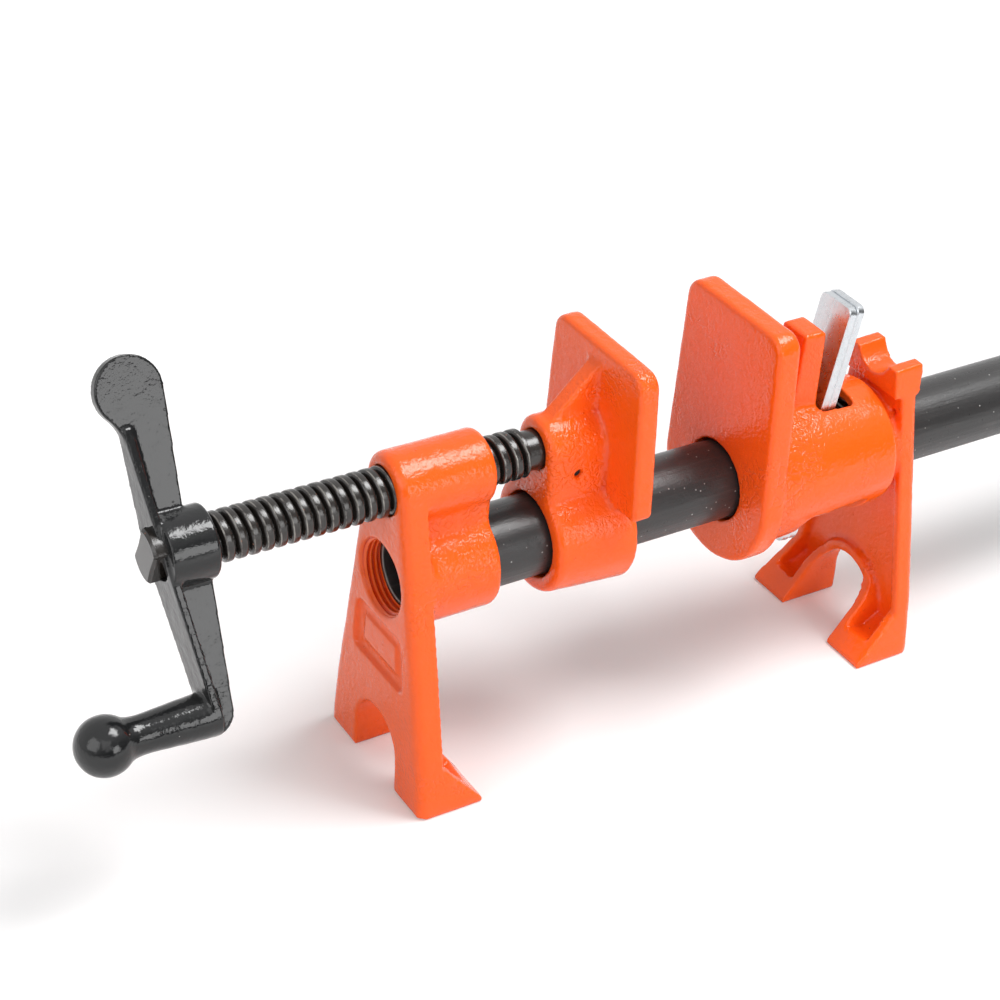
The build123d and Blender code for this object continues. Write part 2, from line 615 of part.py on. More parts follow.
with BuildPart() as tail_stop:
    # jaw plate with its half-round lower end
    with BuildSketch(along_x(TAIL_X, PIPE_Z)) as tail_plate:
        with BuildLine():
            rise = TAIL_TOP_Z - PIPE_Z
            Polyline((TAIL_ROUND_R, 0), (TAIL_TOP_HALF, rise), (-TAIL_TOP_HALF, rise), (-TAIL_ROUND_R, 0))
            CenterArc((0, 0), TAIL_ROUND_R, 180, 180)
        make_face()
        fillet(tail_plate.vertices().group_by(Axis.Y)[-1], TAIL_CORNER_R)
    extrude(amount=TAIL_PLATE)
    plate_outline = tail_stop.faces().filter_by(Axis.X).edges()
    fillet(plate_outline, TAIL_EDGE_R)
    # rear stand, toes towards the jaw, with a saddle between the horns
    with Locations((TAIL_BACK_X, 0, 0)):
        add(tail_stand, rotation=(0, 0, 180))
    with BuildSketch(Plane.XY.offset(HORN_TOP_Z - HORN_DROP)):
        with Locations((TAIL_BACK_X, 0)):
            Rectangle(2 * SADDLE_LENGTH, 2 * FOOT_HALF)
    extrude(amount=SADDLE_LENGTH, mode=Mode.SUBTRACT)
    with Locations((TAIL_BACK_X, 0, 0)):
        add(saddle_block.part)
    with BuildSketch(along_x(TAIL_BACK_X, SADDLE_BOTTOM_Z + SADDLE_R)):
        Circle(SADDLE_R)
    extrude(amount=SADDLE_LENGTH, both=True, mode=Mode.SUBTRACT)
    # tapered barrel and the hub behind it
    with BuildSketch(along_x(BARREL_X - TAIL_EDGE_R, PIPE_Z)):
        Circle(TAIL_BARREL_R)
    with BuildSketch(along_x(BARREL_BACK_X, PIPE_Z)):
        Circle(TAIL_BARREL_BACK_R)
    loft()
    barrel_rim = tail_stop.edges(Select.LAST).filter_by(GeomType.CIRCLE).sort_by(Axis.X)[-1]
    fillet(barrel_rim, TAIL_RIM_R)
    with BuildSketch(along_x(BARREL_BACK_X - TAIL_RIM_R, PIPE_Z)):
        Circle(TAIL_HUB_R)
    extrude(amount=TAIL_LENGTH - TAIL_PLATE - TAIL_BARREL_LENGTH)
    # thumb post in front of the clutch plates
    with BuildSketch(Plane.XZ):
        with BuildLine():
            Polyline(
                (POST_BACK_X, PIPE_Z + CAVITY_R + OVERCUT),
                (POST_BACK_X, POST_TOP_Z),
                (POST_BACK_X - POST_LENGTH, POST_TOP_Z),
                (POST_BACK_X - POST_LENGTH - POST_SPREAD, PIPE_Z + CAVITY_R + OVERCUT),
                close=True,
            )
        make_face()
    extrude(amount=POST_HALF, both=True)
    post_top = tail_stop.faces().filter_by(Axis.Z).filter_by(
        lambda face: abs(face.center().Z - POST_TOP_Z) < SAME
    )
    fillet(post_top.edges(), POST_EDGE_R)
    # cavity, the slot for the plates' upper ends, and the window under it that lets them in
    with BuildSketch(along_x(CAVITY_X, PIPE_Z)):
        Circle(CAVITY_R)
    extrude(amount=CAVITY_BACK_X - CAVITY_X, mode=Mode.SUBTRACT)
    with BuildSketch(Plane.XY.offset(PIPE_Z)):
        with Locations((POST_BACK_X + CLUTCH_SLOT_LENGTH / 2, 0)):
            RectangleRounded(CLUTCH_SLOT_LENGTH, 2 * SLOT_HALF, CLUTCH_SLOT_R)
    extrude(amount=TAIL_BARREL_R + OVERCUT, mode=Mode.SUBTRACT)
    window_length = WINDOW_BACK_X - CAVITY_X
    with BuildSketch(Plane.XZ):
        with Locations((CAVITY_X + window_length / 2, PIPE_Z - WINDOW_DROP - TAIL_BARREL_R / 2)):
            RectangleRounded(window_length, TAIL_BARREL_R, WINDOW_CORNER_R)
    extrude(amount=TAIL_BARREL_R, both=True, mode=Mode.SUBTRACT)
    # loose bore for the pipe
    with BuildSketch(along_x(TAIL_X, PIPE_Z)):
        Circle(PIPE_R + TAIL_BORE_PLAY)
    extrude(amount=TAIL_LENGTH, mode=Mode.SUBTRACT)
tail_stop.part.label = "tail_stop"
export_step(tail_stop.part, "parts/tail_stop.step")

# ---- Clutch plates ----------------------------------------------------------------------------
with BuildPart() as clutch_blank:
    # an upright plate; its hole is centred on the pipe halfway through the thickness once tilted
    with BuildSketch(Plane.YZ):
        with Locations((0, CLUTCH_T / 2 * tan(TILT))):
            Circle(CLUTCH_BODY_R)
            with Locations((0, (CLUTCH_UP - CLUTCH_DOWN) / 2)):
                RectangleRounded(2 * CLUTCH_TAB_HALF, CLUTCH_UP + CLUTCH_DOWN, CLUTCH_CORNER_R)
            Circle(CLUTCH_HOLE_D / 2, mode=Mode.SUBTRACT)
    extrude(amount=CLUTCH_T)
    for flat_face in clutch_blank.faces().filter_by(Axis.X):
        chamfer(flat_face.outer_wire().edges(), CLUTCH_EDGE)

for index, name in enumerate(("clutch_plate_front", "clutch_plate_rear")):
    front_x = CLUTCH_X + index * (CLUTCH_T + CLUTCH_GAP) / cos(TILT)
    with BuildPart() as clutch_plate:
        with Locations(Location((front_x, 0, PIPE_Z), (0, CLUTCH_TILT, 0))):
            add(clutch_blank.part)
    clutch_plate.part.label = name
    export_step(clutch_plate.part, f"parts/{name}.step")

# ---- Clutch spring ----------------------------------------------------------------------------
SPRING_R = PIPE_R + SPRING_CLEAR + SPRING_WIRE / 2
PLATES_BACK_X = CLUTCH_X + SPRING_R * tan(TILT) + (2 * CLUTCH_T + CLUTCH_GAP) / cos(TILT)
SPRING_FRONT_X = PLATES_BACK_X + SPRING_WIRE / 2 + CLUTCH_PLAY
SPRING_BACK_X = CAVITY_BACK_X - SPRING_WIRE / 2 - SEAT_FIT
SPRING_LENGTH = SPRING_BACK_X - SPRING_FRONT_X

with BuildPart() as clutch_spring:
    with BuildLine():
        coil = Helix(
            pitch=SPRING_LENGTH / SPRING_TURNS,
            height=SPRING_LENGTH,
            radius=SPRING_R,
            center=(SPRING_FRONT_X, 0, PIPE_Z),
            direction=(1, 0, 0),
        )
    with BuildSketch(Plane(origin=coil @ 0, z_dir=coil % 0)):
        RegularPolygon(SPRING_WIRE / 2, SPRING_SIDES)
    sweep(path=coil, is_frenet=True)
clutch_spring.part.label = "clutch_spring"
export_step(clutch_spring.part, "parts/clutch_spring.step")
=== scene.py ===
"""A bench pipe clamp on an iron pipe: cast head, sliding jaw and clutch-locked tail stop, with a
crank screw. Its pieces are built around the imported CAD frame, in metres."""

import json
from math import cos, pi, radians, sin

import bmesh
import bpy
import numpy as np
from bpy.props import FloatProperty, FloatVectorProperty, IntProperty, PointerProperty
from mathutils import Matrix, Vector


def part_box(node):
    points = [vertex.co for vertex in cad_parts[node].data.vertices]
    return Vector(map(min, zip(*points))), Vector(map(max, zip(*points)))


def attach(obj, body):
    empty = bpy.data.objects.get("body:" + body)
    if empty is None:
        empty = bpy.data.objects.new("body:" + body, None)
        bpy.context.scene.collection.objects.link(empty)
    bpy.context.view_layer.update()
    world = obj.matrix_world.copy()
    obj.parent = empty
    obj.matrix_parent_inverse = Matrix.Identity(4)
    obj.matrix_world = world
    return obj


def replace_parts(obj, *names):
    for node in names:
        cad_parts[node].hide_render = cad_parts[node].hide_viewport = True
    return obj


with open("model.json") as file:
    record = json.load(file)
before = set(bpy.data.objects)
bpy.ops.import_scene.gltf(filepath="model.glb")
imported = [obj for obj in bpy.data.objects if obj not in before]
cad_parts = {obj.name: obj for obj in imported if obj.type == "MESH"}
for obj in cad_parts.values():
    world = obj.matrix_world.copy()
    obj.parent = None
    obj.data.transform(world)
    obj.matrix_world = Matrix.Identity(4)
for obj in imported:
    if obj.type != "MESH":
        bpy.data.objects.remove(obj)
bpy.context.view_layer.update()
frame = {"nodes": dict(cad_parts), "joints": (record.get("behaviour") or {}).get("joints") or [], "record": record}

bl_info = {
    "name": "Bench Pipe Clamp",
    "version": (1, 0, 0),
    "blender": (4, 5, 0),
    "location": "3D View > Sidebar > Pipe Clamp",
    "description": "Builds the pieces and finishes of a bench pipe clamp around its CAD frame",
    "category": "Add Mesh",
}

MM = 0.001


def joint(name):
    """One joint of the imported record, by its name."""
    return next(j for j in frame["joints"] if j["name"] == name)


PIPE_LOW, PIPE_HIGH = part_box("pipe")
SCREW_LOW, SCREW_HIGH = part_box("main_screw")
HEAD_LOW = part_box("clamp_head")[0]
PIPE_Z = (PIPE_LOW.z + PIPE_HIGH.z) / 2
SCREW_Z = joint("screw_turn")["pos_m"][2]
SCREW_LEAD = 2 * pi * frame["record"]["behaviour"]["couplings"][0]["ratio"]

# Columns of the screw, the pipe and the tapped mouth, from +Y towards +Z, and rows of a thread
ANGLES = np.linspace(0, 2 * pi, 96, endpoint=False)
SCREW_ROWS = 22                 # for each turn
PIPE_ROWS = 12

# Castings: radii that their bores are reamed to, and places that keep crisp corners
SCREW_BORE = 8.05 * MM
NECK_BORE = 6.5 * MM
MOUTH_BORE = 12.62 * MM         # tapped hole in front of the pipe
PIPE_SEAT = 13.42 * MM
JAW_BORE = 14.2 * MM
TAIL_BORE = 14.1 * MM
END_TO_END = (-1.0, 1.0)        # a bore right through, along X
PANEL_ZONE = 2.6 * MM           # behind the head's front, with its framed panel
SLOT_MARGIN = 4 * MM            # round the front clutch plate
SLOT_BEHIND = 9 * MM            # behind it, for the rear plate
DOUBLES = 0.002 * MM            # points nearer than this are one
EDGE_LOSS = 0.5 * MM            # rounding of an outer edge that is partly put back
EDGE_BACK = 0.65
CRISP_FILL = 0.08               # share of the way that points move outward, for each round
HOLLOW_FILL = 0.5
LONG_WAVE = 17 * MM
SHORT_WAVE = 6 * MM
WAVE_DROP = 0.6                 # keeps the waves' tops near the solid's surface

# Screw
TANG_LENGTH = 19.4 * MM         # flatted end in the crank's hub
TANG_SWELL = 0.80 * MM          # its round sides stand over the thread's crests
TANG_STOP = 1.2 * MM            # from the flats to the first ridge
TANG_BEVEL = 0.8 * MM
FLAT_R = 5.15 * MM              # from the screw's axis to each flat
FLAT_TURN = radians(205)
NECK_LENGTH = 22.4 * MM
NECK_R = 6.4 * MM
NECK_BEVEL = 1.0 * MM
PIN_BACK = 7.0 * MM             # from the neck's end to the retaining pin
PIN_GROOVE_DEPTH = 1.7 * MM
PIN_GROOVE_HALF = 1.65 * MM
SHARP = radians(42)

# Pipe and mouth
PIPE_TAPER = 32                 # 1 in 32 on the radius
PIPE_BEVEL = 0.9 * MM
BORE_BEVEL = 0.4 * MM
CUT_END = 0.2 * MM              # bare metal at the pipe's sawn ends
SEAM_ANGLE = radians(222)
SEAM_WIDTH = radians(4)
MOUTH_START = 0.9 * MM          # first ridge, behind the head's front
MOUTH_FULL = 2.0 * MM           # where the ridges have their whole height
MOUTH_ROOT_R = 12.58 * MM
MOUTH_RIDGE = 0.95 * MM
MOUTH_BACK_R = 12.95 * MM       # ring buried in the casting

# Spring
WIRE_SIDES = 16
TURN_ROWS = 64

# Stage: the camera's line of sight, place and lens, and the lamps
AZIMUTH, ELEVATION, ROLL = radians(-32.875), radians(33.519), radians(-3.652)
CAMERA_PLACE = (-0.54867, -0.52140, 0.50290)
SENSOR = 36                     # mm
FRAME_PIXELS = 1000
LENS_PIXELS = 2394.44
FLOOR_REACH = 6.0
FLOOR_Z = -0.0002
# Middle of the floor's weaker glow: painted shade on the floor round the clamp.
SHADE_RAMP_MIDDLE = (-0.03, -0.06, 0.0)
WORLD_LEVEL = 0.29              # as light on the object
BRIGHT_SIDE = (-0.25, 0.60, 0.76)
LAMPS = (                       # name, place, aim, size and watts
    ("overhead", (0.32, -0.22, 1.20), (0, 0, 0.05), 0.58, 14.0),
    ("front", (-0.55, -1.15, 1.0), (-0.05, 0, 0.08), 0.9, 2.3),
    ("low_front", (-0.02, -0.83, 0.31), (-0.30, 0, 0.12), 0.36, 1.9),
    ("side", (-1.3, -0.35, 0.75), (-0.1, 0, 0.08), 0.9, 5.0),
)


# ---- Settings ---------------------------------------------------------------------------------
def length(label, what, default, low=0.0):
    """A length in metres that a user may change."""
    return FloatProperty(name=label, description=what, default=default, min=low, unit="LENGTH",
                         precision=5)


def share(label, what, default):
    """A plain number from 0 to 1."""
    return FloatProperty(name=label, description=what, default=default, min=0.0, max=1.0)


def colour(label, what, default):
    """A linear RGB colour."""
    return FloatVectorProperty(name=label, description=what, default=default, size=3,
                               subtype="COLOR", min=0.0, max=1.0)


class ClampSizes(bpy.types.PropertyGroup):
    """Sizes that the CAD frame doesn't hold."""

    cast_voxel: length("Casting grain", "Spacing of the castings' mesh", 0.66 * MM)
    crank_voxel: length("Crank grain", "Spacing of the crank's mesh", 0.42 * MM)
    cast_wave: length("Casting waviness", "Height of the waves of a sand-cast surface", 0.10 * MM)
    cast_fill: IntProperty(name="Cast fillets", description="Rounds of filling hollow corners",
                           default=16, min=0)
    thread_depth: length("Screw thread depth", "Crest to root of the crank screw", 2.1 * MM)
    thread_root: share("Screw thread root", "Share of the pitch that is the groove's floor", 0.15)
    pipe_pitch: length("Pipe thread pitch", "14 threads per inch", 25.4 / 14 * MM)
    pipe_thread: length("Pipe thread length", "Threaded length at each end of the pipe", 15.0 * MM)
    pipe_depth: length("Pipe thread depth", "Crest to root of the pipe's thread", 1.15 * MM)
    pipe_wall: length("Pipe wall", "Wall of schedule 40 pipe", 2.87 * MM)
    mouth_depth: length("Mouth depth", "Tapped length in front of the pipe", 6.8 * MM)
    spring_wire: length("Spring wire", "Thickness of the clutch spring's wire", 1.6 * MM)
    spring_turns: IntProperty(name="Spring turns", description="Turns of the clutch spring",
                              default=4, min=1)


class ClampFinishes(bpy.types.PropertyGroup):
    """Colours of the finishes."""

    orange: colour("Orange enamel", "Enamel on the three castings", (0.97, 0.116, 0.008))
    # Darker orange in the hollows: partly enamel lying thick, partly painted shade.
    orange_deep_and_shade: colour("Orange in hollows", "Enamel where it lies thick", (0.80, 0.055, 0.004))
    black: colour("Black enamel", "Enamel on the crank", (0.012, 0.0125, 0.013))
    pipe: colour("Pipe lacquer", "Lacquer on the pipe", (0.022, 0.021, 0.021))
    oxide: colour("Black oxide", "Oxide on the screw", (0.012, 0.0108, 0.0100))
    steel: colour("Worn steel", "Bare steel on the crests", (0.42, 0.40, 0.37))
    zinc: colour("Zinc plate", "Plating on the clutch plates", (0.74, 0.77, 0.80))
    floor: colour("Floor", "Paper sweep under the clamp", (0.86, 0.855, 0.855))


# ---- Surfaces ---------------------------------------------------------------------------------
def put(name, data):
    """A new object in the scene, at the origin, that shows the data."""
    made = bpy.data.objects.new(name, data)
    bpy.context.scene.collection.objects.link(made)
    return made


def mesh_from(name, points, faces):
    """A smooth-shaded mesh object at the origin from arrays of points and faces."""
    mesh = bpy.data.meshes.new(name)
    mesh.from_pydata(points.reshape(-1, 3).tolist(), [], faces)
    mesh.update()
    mesh.shade_smooth()
    return put(name, mesh)


def mark(mesh, **amounts):
    """Keeps a number for each point under each name, for the finishes to read."""
    for label, amount in amounts.items():
        attribute = mesh.attributes.new(label, "FLOAT", "POINT")
        attribute.data.foreach_set("value", np.ravel(amount).astype(np.float32))


def ring_quads(rows, columns, closed_rows=False):
    """Quads of a rows x columns grid whose columns run round; the rows may close too. They face
    away from the axis where the rows run along +X and the columns from +Y towards +Z."""
    index = np.arange(rows * columns).reshape(rows, columns)
    if closed_rows:
        index = np.vstack([index, index[:1]])
    right = np.roll(index, -1, axis=1)
    return np.stack([index[1:], index[:-1], right[:-1], right[1:]], axis=-1).reshape(-1, 4)


def round_grid(x, radius, centre_z):
    """Points (x, radius * cos a, z + radius * sin a) for rows of x and columns of angle a."""
    radius = np.broadcast_to(radius, (len(x), len(ANGLES)))
    along = np.broadcast_to(x[:, None], radius.shape)
    return np.stack([along, radius * np.cos(ANGLES), centre_z + radius * np.sin(ANGLES)], axis=-1)


def closed_tube(name, grid, ends, quads):
    """A mesh of a grid's quads, whose first and last rows each close on a middle point."""
    rows, columns = grid.shape[:2]
    first, last = rows * columns, rows * columns + 1
    rim = np.arange(columns)
    tail = rim + (rows - 1) * columns
    fans = np.concatenate([
        np.stack([np.full(columns, first), np.roll(rim, -1), rim], axis=1),
        np.stack([np.full(columns, last), tail, np.roll(tail, -1)], axis=1),
    ])
    points = np.vstack([grid.reshape(-1, 3), ends])
    return mesh_from(name, points, quads.tolist() + fans.tolist())


def smoothstep(low, high, value):
    """0 below low, 1 above high and a smooth 3t^2 - 2t^3 between them."""
    t = np.clip((value - low) / (high - low), 0, 1)
    return t * t * (3 - 2 * t)


def helix_turns(x, pitch):
    """The place along a helix in turns, x / pitch - a / 2 pi, for rows of x and columns of a."""
    return x[:, None] / pitch - ANGLES / (2 * pi)


def groove(turns, root, flank):
    """1 on a thread's root and 0 on its crest; turns is the place along the helix."""
    from_middle = np.abs(turns % 1 - 0.5) * 2
    return 1 - smoothstep(root, root + flank, from_middle)


# ---- Castings ---------------------------------------------------------------------------------
def waves(points, size, seed, count=28):
    """Band-limited noise of about +-1: a sum of plane waves sin(k . p + phase) near one size."""
    rng = np.random.default_rng(seed)
    direction = rng.normal(size=(count, 3))
    direction /= np.linalg.norm(direction, axis=1)[:, None]
    k = direction * (2 * pi / size * rng.uniform(0.6, 1.6, count))[:, None]
    phase = rng.uniform(0, 2 * pi, count)
    return np.sin(points @ k.T + phase).sum(axis=1) * (0.7 / count**0.5)


class Skin:
    """Arrays of a closed mesh, relaxed as a whole: every step moves all the points at once."""

    SLIDE = 0.5                 # share of the way that a point slides along the surface

    def __init__(self, mesh):
        count = len(mesh.vertices)
        self.points = np.empty(count * 3)
        mesh.vertices.foreach_get("co", self.points)
        self.points = self.points.reshape(-1, 3)
        edges = np.empty(len(mesh.edges) * 2, int)
        mesh.edges.foreach_get("vertices", edges)
        self.a, self.b = edges.reshape(-1, 2).T
        mesh.calc_loop_triangles()
        corners = np.empty(len(mesh.loop_triangles) * 3, int)
        mesh.loop_triangles.foreach_get("vertices", corners)
        self.corners = corners.reshape(-1, 3).T
        self.degree = self.gather(np.ones((count, 1)))

    def gather(self, values):
        """The sum of values over each point's neighbours, for each column of values."""
        a, b, count = self.a, self.b, len(self.points)
        return np.stack(
            [np.bincount(a, column[b], count) + np.bincount(b, column[a], count)
             for column in values.T],
            axis=1,
        )

    def normals(self):
        """Unit normals from the triangles round each point, weighted by area."""
        p, q, r = self.points[self.corners]
        face = np.cross(q - p, r - p)
        total = np.zeros_like(self.points)
        for corner in self.corners:
            total += np.stack(
                [np.bincount(corner, side, len(self.points)) for side in face.T], axis=1
            )
        return total / np.maximum(np.linalg.norm(total, axis=1), 1e-12)[:, None]

    def ream(self, middle_z, radius, start, end):
        """Pushes points that stand inside a bore along X, from start to end, out to its wall."""
        away = self.points[:, 1:] - (0, middle_z)
        distance = np.linalg.norm(away, axis=1)
        inside = (distance < radius) & (self.points[:, 0] > start) & (self.points[:, 0] < end)
        scale = radius / np.maximum(distance[inside], 1e-9)
        self.points[inside, 1:] = (0, middle_z) + away[inside] * scale[:, None]

    def relax(self, rounds, outward, inward):
        """Moves each point towards its neighbours' mean, by one share outward and one inward."""
        for _ in range(rounds):
            pull = self.gather(self.points) / self.degree - self.points
            normal = self.normals()
            rise = (pull * normal).sum(axis=1)
            slide = pull - rise[:, None] * normal
            move = rise * np.where(rise > 0, outward, inward)
            self.points += normal * move[:, None] + slide * self.SLIDE


def cast_piece(node, name, voxel, fill, wave, seed, bores=(), crisp=None):
    """A casting grown from a CAD solid: a voxel skin, relaxed so that outer edges round a little
    and hollow corners fill to cast fillets, with waves sin(k . p) of sand casting along its
    normals. Points where crisp says so fill less, and the bores are reamed again. The mark
    "hollow" says how far each point was filled, in mm up to 2."""
    mesh = frame["nodes"][node].data.copy()
    shape = bmesh.new()
    shape.from_mesh(mesh)
    bmesh.ops.remove_doubles(shape, verts=shape.verts, dist=DOUBLES)
    shape.to_mesh(mesh)
    shape.free()
    rough = put(name + "_rough", mesh)
    grain = rough.modifiers.new("grain", "REMESH")
    grain.mode = "VOXEL"
    grain.voxel_size = voxel
    evaluated = rough.evaluated_get(bpy.context.evaluated_depsgraph_get())
    fine = bpy.data.meshes.new_from_object(evaluated)
    bpy.data.objects.remove(rough)
    fine.name = name

    skin = Skin(fine)
    start = skin.points.copy()
    skin.relax(3, outward=0.5, inward=0.4)
    outward = np.where(crisp(start), CRISP_FILL, HOLLOW_FILL) if crisp else HOLLOW_FILL
    skin.relax(fill, outward, inward=0.0)
    skin.relax(2, outward=0.4, inward=0.3)
    normal = skin.normals()
    lost = ((start - skin.points) * normal).sum(axis=1)
    skin.points += normal * (np.clip(lost, 0, EDGE_LOSS) * EDGE_BACK)[:, None]
    for bore in bores:
        skin.ream(*bore)
    normal = skin.normals()
    filled = ((skin.points - start) * normal).sum(axis=1)
    # The enamel darkens with this mark: partly thick enamel, partly painted shade in the hollows.
    mark(fine, hollow=np.clip(filled / MM, 0, 2))
    lift = (0.6 * waves(skin.points, LONG_WAVE, seed)
            + 0.4 * waves(skin.points, SHORT_WAVE, seed + 1))
    skin.points += normal * ((lift - WAVE_DROP) * wave)[:, None]
    skin.points[:, 2] = np.maximum(skin.points[:, 2], 0)

    fine.vertices.foreach_set("co", skin.points.ravel())
    fine.materials.clear()
    fine.update()
    fine.shade_smooth()
    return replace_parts(put(name, fine), node)


# ---- Turned and wound pieces ------------------------------------------------------------------
def threaded_screw(s):
    """The crank screw: a radius for each x and angle a round its axis. A ridge of the thread is a
    rounded lump sqrt(1 - |u|^4.5), where u runs from -1 at one foot to 1 at the other. The thread
    runs out into the plain neck, which has a groove for the pin, and into the end in the hub,
    which two flats FLAT_R / |cos a| cut. The mark "crest" is a worn band
    exp(-((u + 0.5) / 0.16)^2) beside one shoulder of each ridge."""
    crest_r = (SCREW_HIGH.z - SCREW_LOW.z) / 2
    tang_end, neck_end = SCREW_LOW.x, SCREW_HIGH.x
    thread_start = tang_end + TANG_LENGTH
    thread_end = neck_end - NECK_LENGTH
    pin_x = neck_end - PIN_BACK
    # rows of the bevelled tip, the flats, the thread, the neck, the pin's groove and the end
    x = np.concatenate([
        np.linspace(tang_end, tang_end + 2.2 * MM, 9),
        np.linspace(tang_end + 2.6 * MM, thread_start - 1.5 * MM, 14),
        np.arange(thread_start - 1.4 * MM, thread_end + 1.4 * MM, SCREW_LEAD / SCREW_ROWS),
        np.linspace(thread_end + 1.5 * MM, pin_x - 1.9 * MM, 12),
        pin_x + np.array([-1.66, -1.64, 0, 1.64, 1.66]) * MM,
        np.linspace(pin_x + 1.9 * MM, neck_end, 12),
    ])
    turns = helix_turns(x - thread_start, SCREW_LEAD)
    u = (turns % 1 - 0.5) * 2 / (1 - s.thread_root)
    ridge = np.sqrt(np.clip(1 - np.abs(u) ** 4.5, 0, 1))
    worn = np.exp(-(((u + 0.5) / 0.16) ** 2))
    fade = smoothstep(thread_start - 0.6 * MM, thread_start + 0.4 * MM, x)
    fade *= 1 - smoothstep(thread_end - 1.5 * MM, thread_end, x)
    radius = crest_r - (1 - ridge) * s.thread_depth * fade[:, None]
    to_neck = smoothstep(thread_end - 0.9 * MM, thread_end, x)[:, None]
    radius = radius * (1 - to_neck) + NECK_R * to_neck
    in_groove = (np.abs(x - pin_x) < PIN_GROOVE_HALF)[:, None]
    radius = np.where(in_groove, NECK_R - PIN_GROOVE_DEPTH, radius)
    tip = np.minimum(x - tang_end, TANG_BEVEL)[:, None] - TANG_BEVEL
    radius = radius + tip + np.minimum(neck_end - x - NECK_BEVEL, 0)[:, None]
    flat = FLAT_R / np.maximum(np.abs(np.cos(ANGLES - FLAT_TURN)), 1e-3) + tip
    in_hub = (x < thread_start - TANG_STOP)[:, None]
    radius = np.where(in_hub, np.minimum(radius + TANG_SWELL, flat), radius)

    grid = round_grid(x, radius, SCREW_Z)
    ends = [(tang_end, 0, SCREW_Z), (neck_end, 0, SCREW_Z)]
    piece = closed_tube("threaded_screw", grid, ends, ring_quads(*grid.shape[:2]))
    piece.data.set_sharp_from_angle(angle=SHARP)
    mark(piece.data, crest=np.append((worn * fade[:, None]).ravel(), [0, 0]))
    return piece


def threaded_pipe(s):
    """The pipe: a radius for each x and angle a, along its outside and back through its bore. At
    both ends the outside is cut by a thread, which fades inwards, and tapers by 1 in 32. The mark
    "bare" is high where thread and saw have cut the lacquer, and "seam" is a band
    exp(-((a - seam) / width)^2) along the weld."""
    outer = (PIPE_HIGH.z - PIPE_LOW.z) / 2
    inner = outer - s.pipe_wall
    start, end = PIPE_LOW.x, PIPE_HIGH.x
    step = s.pipe_pitch / PIPE_ROWS
    run = np.arange(0, s.pipe_thread, step)
    plain = np.linspace(start + run[-1] + step, end - run[-1] - step, 40)
    x_out = np.concatenate([start + run, plain, end - run[::-1]])
    from_end = np.minimum(x_out - start, end - x_out)
    cut = groove(helix_turns(x_out, s.pipe_pitch), 0.04, 0.86)
    fade = 1 - smoothstep(s.pipe_thread * 0.72, s.pipe_thread * 0.97, from_end)
    taper = np.maximum(s.pipe_thread - from_end, 0) / PIPE_TAPER
    bevel = np.maximum(PIPE_BEVEL - from_end, 0)
    radius = outer - (cut * s.pipe_depth * fade[:, None] + (taper + bevel)[:, None])
    outside = round_grid(x_out, radius, PIPE_Z)
    lip = np.array([0, 0.3, 0.5]) * MM
    x_in = np.concatenate([
        end - lip, np.linspace(end - 4 * MM, start + 4 * MM, 30), start + lip[::-1]
    ])
    r_in = inner + np.maximum(BORE_BEVEL - np.minimum(end - x_in, x_in - start), 0)
    grid = np.concatenate([outside, round_grid(x_in, r_in[:, None], PIPE_Z)])

    quads = ring_quads(*grid.shape[:2], closed_rows=True)
    piece = mesh_from("threaded_pipe", grid, quads.tolist())
    bare = np.zeros(grid.shape[:2])
    bare[: len(x_out)] = fade[:, None] * (0.25 + 0.5 * cut)
    from_saw = np.minimum(np.abs(grid[..., 0] - start), np.abs(grid[..., 0] - end))
    bare[from_saw < CUT_END] = 1
    seam = np.exp(-(((ANGLES - SEAM_ANGLE) / SEAM_WIDTH) ** 2))
    mark(piece.data, bare=bare, seam=np.broadcast_to(seam, bare.shape))
    return piece


def tapped_mouth(s):
    """The head's tapped mouth in front of the pipe: for each x and angle a, ridges of the pipe's
    pitch that rise inside the hole over a lead-in, closed by a plain ring buried in the casting."""
    x = HEAD_LOW.x + np.arange(MOUTH_START, s.mouth_depth - 0.05 * MM, s.pipe_pitch / PIPE_ROWS)
    ridge = 1 - groove(helix_turns(x, s.pipe_pitch), 0.10, 0.70)
    lead_in = smoothstep(MOUTH_START, MOUTH_FULL, x - HEAD_LOW.x)[:, None]
    inside = round_grid(x, MOUTH_ROOT_R - ridge * MOUTH_RIDGE * lead_in, PIPE_Z)
    grid = np.concatenate([inside, round_grid(x[::-1], MOUTH_BACK_R, PIPE_Z)])
    # the grid starts on the wall of the hole, so its quads are turned about
    quads = ring_quads(*grid.shape[:2], closed_rows=True)[:, ::-1]
    piece = mesh_from("tapped_mouth", grid, quads.tolist())
    # The mark hollow is 1 in the thread's grooves, where the enamel turns darker: painted shade in the grooves.
    mark(piece.data, hollow=np.concatenate([1 - ridge, np.zeros_like(ridge)]))
    return piece


